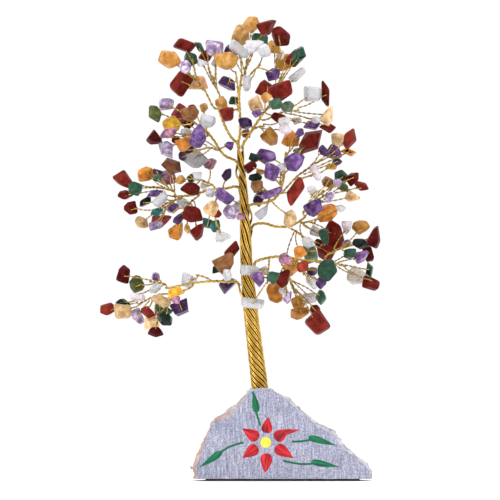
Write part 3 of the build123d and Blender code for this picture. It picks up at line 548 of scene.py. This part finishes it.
bundles = []
wires = []
thinning = []
for rings in tubes("trunk_strands", 4):
    middles = rings.mean(axis=1)
    if middles[0][2] > middles[-1][2]:
        middles = middles[::-1]
    line = laid_tight(smooth_line(middles, BUNDLE_STEPS))
    bundles.append(line)
    outward = from_middle(line)
    outward /= np.linalg.norm(outward, axis=1)[:, None]
    runs = np.gradient(line, axis=0)
    upright = np.clip(runs[:, 2] / np.linalg.norm(runs, axis=1), *UPRIGHT)
    sideways = np.cross(runs, outward)
    sideways /= np.linalg.norm(sideways, axis=1)[:, None]
    for side in (-1, 1):
        wires.append(line + BUNDLE_RISE * outward + side * PAIR_SHIFT * upright[:, None] * sideways)
        thinning.append(upright)
trunk = wire_piece("twisted_trunk", wires, PAIR_WIRE, swelling=thinning)
surface = np.array([vertex.co for vertex in trunk.data.vertices])
facing = np.array([vertex.normal for vertex in trunk.data.vertices])
outward = from_middle(surface)
outward /= np.linalg.norm(outward, axis=1)[:, None]
# Painted shade: how squarely each point of the rope faces outward. Points turned sideways into the
# crevices between wires get the dark painted shade.
crevice_shading = trunk.data.attributes.new("crevice_shading", "FLOAT", "POINT")
shown = (np.sum(facing * outward, axis=1) - CREVICE_SHADE_FROM) / CREVICE_SHADE_OVER
crevice_shading.data.foreach_set("value", np.clip(shown, 0.0, 1.0))
trunk.data.materials.append(gold_wire)
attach(trunk, "stand")
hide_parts("trunk_strands")

core_reach = [min(np.interp(z, line[:, 2], np.linalg.norm(from_middle(line), axis=1))
                  for line in bundles if line[-1, 2] >= z) - CORE_SINK for z in CORE_HEIGHTS]
core_line = [(np.interp(z, TRUNK_HEIGHTS, TRUNK_X), 0.0, z) for z in CORE_HEIGHTS]
core = wire_piece("wire_core", [core_line], 1.0, 3, swelling=[core_reach])
core.data.materials.append(gold_wire)
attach(core, "stand")
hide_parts("trunk_core")


# Boughs
# Each bough is one bundle of the trunk bent outward. Thinner pairs of wire twist off it as
# branchlets, and each chip hangs in its own folded wire, twisted tight below the stone.
BOUGH_NAMES = ["mid_right", "mid_left", "upper_left", "low_right", "top", "upper_right", "low_left",
               "left", "right"]
BOUGH_SIDES, BRANCHLET_SIDES, CHIP_WIRE_SIDES = 6, 5, 3
BOUGH_STEPS = 10
BOUGH_WIRES = 3
BOUGH_WIRE = 0.00047
BOUGH_WIRE_TAPER = 0.85
BOUGH_OFFSET = 0.00050
BOUGH_OFFSET_TAPER = 0.8
BOUGH_LAY = 0.009
BRANCHLET_STEPS = 14
BRANCHLET_WIRES = 2
BRANCHLET_WIRE = 0.00037
BRANCHLET_OFFSET = 0.00038
BRANCHLET_LAY = 0.006
ANY_TURN = 6.0
STEM_WIDE = 0.0006
STEM_THICK = 0.00032
STEM_POINTS = 13
STEM_TURN = math.radians(75)
STEM_SAG = 0.08
LOOP_WIRE = 0.00036
LOOP_LENGTH = 0.0034
LOOP_SHARE = 0.45
LOOP_PIN = 0.42
LOOP_SHOULDER = 0.36


def stem_profile():
    """The cross-section of two wires twisted together, drawn as a flat diamond."""
    curve = bpy.data.curves.new("pair", "CURVE")
    spline = curve.splines.new("POLY")
    spline.points.add(3)
    corners = [(STEM_WIDE, 0.0), (0.0, STEM_THICK), (-STEM_WIDE, 0.0), (0.0, -STEM_THICK)]
    for point, (x, y) in zip(spline.points, corners):
        point.co = (x, y, 0.0, 1.0)
    spline.use_cyclic_u = True
    profile = bpy.data.objects.new("pair", curve)
    bpy.context.scene.collection.objects.link(profile)
    return profile


def stem_piece(name, lines, profile):
    """Make one mesh of twisted stems."""
    curve = bpy.data.curves.new(name, "CURVE")
    curve.dimensions = "3D"
    curve.bevel_mode = "OBJECT"
    curve.bevel_object = profile
    for line in lines:
        spline = curve.splines.new("POLY")
        spline.points.add(len(line) - 1)
        for i, (point, spot) in enumerate(zip(spline.points, line)):
            point.co = (*spot, 1.0)
            point.tilt = i * STEM_TURN
    piece = bpy.data.objects.new(name, curve)
    bpy.context.scene.collection.objects.link(piece)
    pick(piece)
    bpy.ops.object.convert(target="MESH")
    return bpy.context.active_object


def nearest(point, lines):
    """The place on some lines that lies nearest to a point."""
    spots = np.concatenate(lines)
    return spots[np.argmin(np.linalg.norm(spots - point, axis=1))]


def from_carrier(middles, lines):
    """Let a wire start on the line that carries it."""
    far = [np.linalg.norm(nearest(middles[end], lines) - middles[end]) for end in (0, -1)]
    if far[0] > far[1]:
        middles = middles[::-1]
    return [nearest(middles[0], lines), *middles]


finish, nodes, links, shader = new_finish("thin_gold_wire")
tarnish = noise(nodes, links, 320.0)
links.new(ramp(nodes, links, tarnish, [(0.25, (0.28, 0.18, 0.035)), (0.5, (0.54, 0.36, 0.08)),
                                       (0.75, (0.78, 0.56, 0.18))]), shader.inputs["Base Color"])
shader.inputs["Metallic"].default_value = 1.0
shader.inputs["Roughness"].default_value = 0.36
thin_gold_wire = finish

profile = stem_profile()
for bough_name in BOUGH_NAMES:
    body = f"{bough_name}_bough"
    chance = random.Random(body)
    thick, pairs, stems, loops = [], [], [], []
    read = [(rings.shape[1], rings.mean(axis=1)) for rings in tubes(f"{body}_wire", BOUGH_SIDES)]
    root = np.array(next(joint["pos_m"] for joint in frame["joints"] if joint["child"] == body))
    bough_lines = []
    for sides, middles in read:
        if sides == BOUGH_SIDES:
            if np.linalg.norm(middles[0] - root) > np.linalg.norm(middles[-1] - root):
                middles = middles[::-1]
            bough_lines.append(smooth_line(middles, BOUGH_STEPS))
            thick += twisted(bough_lines[-1], BOUGH_WIRES, BOUGH_OFFSET, BOUGH_LAY,
                             chance.uniform(0, ANY_TURN), BOUGH_OFFSET_TAPER)
    carriers = list(bough_lines)
    for sides, middles in read:
        if sides == BRANCHLET_SIDES:
            carriers.append(smooth_line(from_carrier(middles, bough_lines), BRANCHLET_STEPS))
            pairs += twisted(carriers[-1], BRANCHLET_WIRES, BRANCHLET_OFFSET, BRANCHLET_LAY,
                             chance.uniform(0, ANY_TURN))
    for sides, middles in read:
        if sides == CHIP_WIRE_SIDES:
            foot = (middles[0] + middles[3]) / 2
            pin = (middles[1] + middles[2]) / 2
            opening = middles[1] - middles[2]
            stem_end = pin + (foot - pin) * min(LOOP_SHARE, LOOP_LENGTH / np.linalg.norm(foot - pin))
            sag = np.array([chance.uniform(-1, 1), chance.uniform(-1, 1), chance.uniform(-1, 0.4)])
            sag *= STEM_SAG * np.linalg.norm(stem_end - foot)
            shares = np.linspace(0.0, 1.0, STEM_POINTS)[:, None]
            bowed = foot + (stem_end - foot) * shares + sag * 4 * shares * (1 - shares)
            stems.append([nearest(foot, carriers), *bowed])
            shoulder = stem_end + LOOP_SHARE * (pin - stem_end)
            loops.append([stem_end, shoulder + LOOP_SHOULDER * opening, pin + LOOP_PIN * opening,
                          pin - LOOP_PIN * opening, shoulder - LOOP_SHOULDER * opening, stem_end])
    wires = joined(f"{bough_name}_wires", [
        wire_piece("thick", thick, BOUGH_WIRE, 1, BOUGH_WIRE_TAPER),
        wire_piece("pairs", pairs, BRANCHLET_WIRE, 0),
        stem_piece("stems", stems, profile),
        wire_piece("loops", loops, LOOP_WIRE, 0),
    ])
    wires.data.materials.clear()
    wires.data.materials.append(thin_gold_wire)
    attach(wires, body)
    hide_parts(f"{body}_wire")
bpy.data.objects.remove(profile)


# Red jasper chips
# Tumbled chips of opaque oxblood stone with a satin polish, brick-red on their broken faces.
# Each is drilled and threaded on its own folded wire.
HULL_ANGLE = 0.02
FULLNESS = (0.14, 0.48)
CLOSE_FULLNESS = (0.08, 0.30)
CLOSE_GROUPS = {"mid_right_bough_yellow_aventurine", "left_bough_yellow_aventurine",
                "left_bough_amethyst", "low_right_bough_amethyst", "low_right_bough_red_jasper"}
EDGE_SHARE = 0.3
SHADE_REACH = 4.0
TONES = (0.70, 1.04)


def rounded(chip, fullness, chance):
    """Make one chip fuller and round its edges. Hand back the middle that it had."""
    pick(chip)
    bpy.ops.object.mode_set(mode="EDIT")
    bpy.ops.mesh.select_all(action="SELECT")
    bpy.ops.mesh.convex_hull()
    bpy.ops.mesh.dissolve_limited(angle_limit=HULL_ANGLE)
    bpy.ops.object.mode_set(mode="OBJECT")
    corners = np.array([vertex.co for vertex in chip.data.vertices])
    middle = corners.mean(axis=0)
    for vertex in chip.data.vertices:
        away = vertex.co - Vector(middle)
        vertex.co += away * chance.uniform(*fullness)
    edge = chip.modifiers.new("edge", "BEVEL")
    edge.width = EDGE_SHARE * np.linalg.norm(corners - middle, axis=1).mean()
    edge.segments = 2
    edge.limit_method = "NONE"
    edge.harden_normals = True
    bpy.ops.object.shade_smooth()
    bpy.ops.object.modifier_apply(modifier=edge.name)
    for vertex in chip.data.vertices:
        vertex.co = np.clip(vertex.co, cad_low, cad_high)
    return middle


def shade_at(middle, usual, shades, chance):
    """The shade of the chip at one place: a listed one, or else one that its stone usually has."""
    spot = (middle[0] * 1000, middle[2] * 1000)
    shade = usual[chance.randrange(len(usual))]
    closest = SHADE_REACH
    for colour, places in shades:
        for place in places:
            if math.dist(spot, place) < closest:
                closest = math.dist(spot, place)
                shade = colour
    return shade


def tumbled(stone_name, finish, usual, shades):
    """Round the chips of one stone, give each its shade, and make them one piece on each bough."""
    for bough_name in BOUGH_NAMES:
        body = f"{bough_name}_bough"
        node = f"{body}_{stone_name}"
        chance = random.Random(node)
        own_copy(node, f"{node}_chips")
        bpy.ops.object.mode_set(mode="EDIT")
        bpy.ops.mesh.select_all(action="SELECT")
        bpy.ops.mesh.separate(type="LOOSE")
        bpy.ops.object.mode_set(mode="OBJECT")
        chips = list(bpy.context.selected_objects)
        for chip in chips:
            middle = rounded(chip, CLOSE_FULLNESS if node in CLOSE_GROUPS else FULLNESS, chance)
            shade = shade_at(middle, usual, shades, chance)
            tone = chance.uniform(*TONES)
            colour = [*(min(1.0, tone * part) for part in shade), 1.0]
            paint = chip.data.attributes.new("shade", "FLOAT_COLOR", "POINT")
            paint.data.foreach_set("color", colour * len(chip.data.vertices))
        group = joined(f"{node}_chips", chips)
        group.data.materials.clear()
        group.data.materials.append(finish)
        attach(group, body)
        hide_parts(node)


def chip_finish(name, scale, stops, roughness, relief, depth=0.0004, detail=4.0, grain=0.55):
    """A polished stone: each chip's own shade, clouded by veins that stand in slight relief."""
    finish, nodes, links, shader = new_finish(name)
    veins = noise(nodes, links, scale, detail=detail, roughness=grain)
    cloud = ramp(nodes, links, veins, stops)
    shade = nodes.new("ShaderNodeAttribute")
    shade.attribute_name = "shade"
    links.new(mixed(nodes, links, 1.0, shade.outputs["Color"], cloud, "MULTIPLY"),
              shader.inputs["Base Color"])
    shader.inputs["Roughness"].default_value = roughness
    bumped(nodes, links, shader, veins, relief, depth)
    return finish, shader


finish, shader = chip_finish("jasper", 300.0, [
    (0.3, (0.45, 0.40, 0.40)), (0.55, (1.0, 1.0, 1.0)), (0.75, (1.5, 1.25, 1.2))], 0.34, 0.25)
shader.inputs["Specular IOR Level"].default_value = 0.04
tumbled("red_jasper", finish, [
    (0.16, 0.014, 0.010), (0.21, 0.023, 0.015), (0.12, 0.011, 0.008)], [
    ((0.08, 0.005, 0.006), [(-57, 214), (-76, 205), (22, 142), (55, 146), (52, 136), (-96, 123),
                            (-76, 89)]),
    ((0.17, 0.06, 0.03), [(-22, 208), (-67, 188)]),
    ((0.34, 0.06, 0.07), [(-62, 221), (-73, 155)]),
    ((0.45, 0.07, 0.03), [(12, 128)]),
])


# Yellow aventurine chips
# Ochre to golden stone, cloudy, with beige and tan pieces among them, tumbled, drilled and threaded
# as the jasper is.
finish, shader = chip_finish("yellow_aventurine", 260.0, [
    (0.3, (0.58, 0.44, 0.34)), (0.52, (1.0, 1.0, 1.0)), (0.72, (1.35, 1.5, 2.0))], 0.3, 0.2)
shader.inputs["Specular IOR Level"].default_value = 0.12
shader.inputs["Subsurface Weight"].default_value = 0.15
shader.inputs["Subsurface Scale"].default_value = 0.002
tumbled("yellow_aventurine", finish, [
    (0.56, 0.28, 0.07), (0.62, 0.35, 0.11), (0.50, 0.23, 0.05)], [
    ((0.78, 0.54, 0.28), [(-16, 225), (27, 219), (5, 157), (34, 205), (43, 170), (-78, 94),
                          (-42, 163)]),
    ((0.80, 0.44, 0.24), [(-51, 239)]),
    ((0.52, 0.34, 0.16), [(-85, 154), (-73, 108), (-95, 101)]),
    ((0.72, 0.40, 0.04), [(-67, 213), (30, 188), (-64, 113)]),
    ((0.32, 0.14, 0.05), [(-55, 219), (-15, 176), (28, 179), (-34, 130)]),
    ((0.66, 0.25, 0.04), [(-57, 203), (-82, 184), (-63, 149), (6, 205), (40, 197), (28, 161),
                          (10, 137), (6, 128), (-5, 112)]),
])


# Green aventurine chips
# Bottle-green stone with sage, olive and nearly black pieces, glassy where it is thin, tumbled,
# drilled and threaded as the jasper is.
finish, shader = chip_finish("green_aventurine", 320.0, [
    (0.3, (0.45, 0.5, 0.5)), (0.55, (1.0, 1.0, 1.0)), (0.75, (1.9, 1.6, 1.7))], 0.26, 0.2)
shader.inputs["Specular IOR Level"].default_value = 0.08
tumbled("green_aventurine", finish, [
    (0.03, 0.085, 0.05), (0.05, 0.12, 0.07), (0.02, 0.06, 0.035)], [
    ((0.010, 0.020, 0.014), [(-83, 167), (-16, 193), (-16, 181), (46, 142), (-70, 97), (-96, 106),
                             (-39, 127), (-34, 125)]),
    ((0.09, 0.11, 0.03), [(-76, 220), (36, 176), (-88, 117)]),
    ((0.03, 0.13, 0.12), [(-75, 161), (-45, 154), (-40, 152)]),
    ((0.14, 0.20, 0.12), [(3, 224), (10, 197), (17, 136)]),
])


# Amethyst chips
# Violet quartz, mottled from nearly clear to deep plum within one chip, tumbled, drilled and
# threaded as the jasper is.
finish, shader = chip_finish("amethyst", 280.0, [
    (0.32, (0.38, 0.34, 0.42)), (0.5, (1.0, 1.0, 1.0)), (0.68, (2.6, 2.9, 2.1))], 0.2, 0.15)
shader.inputs["Specular IOR Level"].default_value = 0.14
shader.inputs["Transmission Weight"].default_value = 0.25
tumbled("amethyst", finish, [
    (0.15, 0.06, 0.24), (0.19, 0.09, 0.28), (0.11, 0.04, 0.19)], [
    ((0.055, 0.016, 0.09), [(-31, 258), (-33, 239), (-22, 214), (-57, 198), (-60, 194), (-75, 185),
                            (-62, 157), (-33, 183), (-14, 170), (24, 197), (33, 191), (18, 125),
                            (23, 119), (-61, 103), (-33, 118)]),
    ((0.42, 0.31, 0.50), [(-41, 259), (-58, 247), (-70, 226), (-69, 199), (-76, 153), (-31, 161),
                          (28, 170), (39, 142), (33, 178), (-87, 98), (3, 110)]),
    ((0.42, 0.18, 0.32), [(-68, 208), (-69, 182), (2, 133), (-43, 190), (-25, 158), (-64, 109)]),
    ((0.14, 0.06, 0.24), [(-50, 205), (-35, 170), (7, 190), (18, 163), (10, 208)]),
])


# Clear quartz chips
# Water-clear to milky quartz, some with a lilac or pink tint, cracked and cloudy inside, tumbled,
# drilled and threaded as the jasper is. Two long chips hang across the front of the trunk.
finish, shader = chip_finish("clear_quartz", 340.0, [
    (0.32, (0.56, 0.56, 0.62)), (0.46, (0.90, 0.90, 0.92)), (0.6, (1.0, 1.0, 1.0))], 0.22, 0.3,
    depth=0.0006, detail=7.0, grain=0.65)
shader.inputs["Transmission Weight"].default_value = 0.35
shader.inputs["IOR"].default_value = 1.54
tumbled("clear_quartz", finish, [
    (0.92, 0.92, 0.95), (0.84, 0.83, 0.87), (0.95, 0.94, 0.95)], [
    ((0.94, 0.82, 0.89), [(1, 210), (17, 109), (20, 184), (39, 152), (-87, 110)]),
    ((0.62, 0.62, 0.66), [(-54, 193), (-12, 161)]),
    ((0.84, 0.76, 0.64), [(45, 122)]),
])


# Studio
# A pale floor that runs out into a white background, three soft lights, and a camera far off with
# a long lens, level with the middle of the tree.
FLOOR_SIZE = 8.0
FLOOR_DROP = 0.0003
LIGHT_AIM = (0.0, 0.0, 0.14)
CAMERA_SPOT = (-0.0195, -7.5, 0.138)

bpy.ops.object.select_all(action="DESELECT")
bpy.ops.mesh.primitive_plane_add(size=FLOOR_SIZE, location=(0.0, 0.0, -FLOOR_DROP))
floor = bpy.context.active_object
floor.name = "studio_floor"
finish, nodes, links, shader = new_finish("pale_floor")
shader.inputs["Base Color"].default_value = (1.0, 1.0, 1.0, 1.0)
shader.inputs["Roughness"].default_value = 0.9
floor.data.materials.append(finish)

world = bpy.data.worlds.new("studio")
bpy.context.scene.world = world
world.use_nodes = True
background = world.node_tree.nodes["Background"]
background.inputs["Color"].default_value = (1.0, 1.0, 1.0, 1.0)
background.inputs["Strength"].default_value = 1.03


def soft_light(name, spot, size, power):
    """Set up one square light that shines at the tree."""
    bpy.ops.object.light_add(type="AREA", location=spot)
    light = bpy.context.active_object
    light.name = name
    light.data.size = size
    light.data.energy = power
    light.rotation_euler = (Vector(LIGHT_AIM) - Vector(spot)).to_track_quat("-Z", "Y").to_euler()


soft_light("front_left_light", (-0.9, -1.1, 0.9), 0.5, 9.0)
soft_light("right_light", (1.1, -0.7, 0.5), 0.4, 4.0)
soft_light("top_light", (0.0, 0.2, 1.3), 0.6, 4.0)
bpy.context.scene.view_settings.view_transform = "Standard"

bpy.ops.object.camera_add(location=CAMERA_SPOT, rotation=(math.radians(90), 0.0, 0.0))
camera = bpy.context.active_object
camera.data.sensor_width = 36.0
camera.data.lens = 900.0
camera.data.clip_end = 50.0
bpy.context.scene.camera = camera
